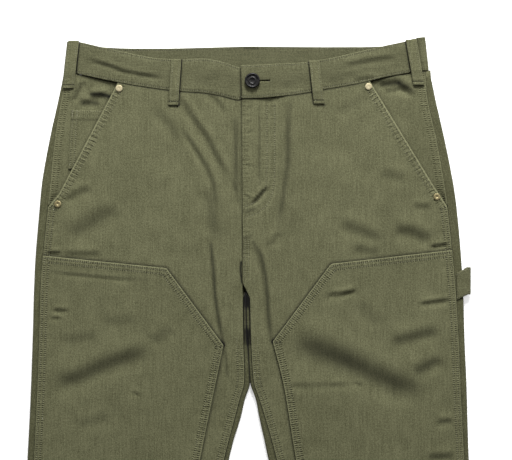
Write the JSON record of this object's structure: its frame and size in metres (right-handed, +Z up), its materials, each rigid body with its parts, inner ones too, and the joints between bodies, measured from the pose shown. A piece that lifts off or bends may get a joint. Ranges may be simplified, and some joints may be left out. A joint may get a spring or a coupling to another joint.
{
  "type": "utility pants",
  "caption": "Olive cotton twill work pants laid flat, front up: five-pocket front with slanted pockets, double-layer thighs and knees, belt loops, hammer loop, tack button.",
  "frame": {"origin": "middle of the garment's outline as it lies, on the surface under it", "axes": "+X to the wearer's left, +Y from the hems to the waist, +Z up from the surface, through the front"},
  "size_m": [0.6124, 1.0663, 0.0142],
  "materials": {
    "twill": "washed olive cotton twill, matt, paler along its seams and edges, sewn with thread of its own colour",
    "gunmetal": "dark plated tack button with a raised rim, satin",
    "pale_brass": "pale worn brass, satin"
  },
  "bodies": {
    "root": {"back_left": "twill", "back_right": "twill", "belt_loop_back": "twill", "belt_loop_front_left": "twill", "belt_loop_front_right": "twill", "belt_loop_side_left": "twill", "belt_loop_side_right": "twill", "button": "gunmetal", "coin_pocket": "twill", "front_left": "twill", "front_right": "twill", "hammer_loop": "twill", "knee_left": "twill", "knee_right": "twill", "pocket_facing_left": "twill", "pocket_facing_right": "twill", "rivet_left_foot": "pale_brass", "rivet_left_top": "pale_brass", "rivet_right_foot": "pale_brass", "rivet_right_top": "pale_brass", "waistband_back": "twill", "waistband_left": "twill", "waistband_right": "twill"}
  },
  "joints": []
}
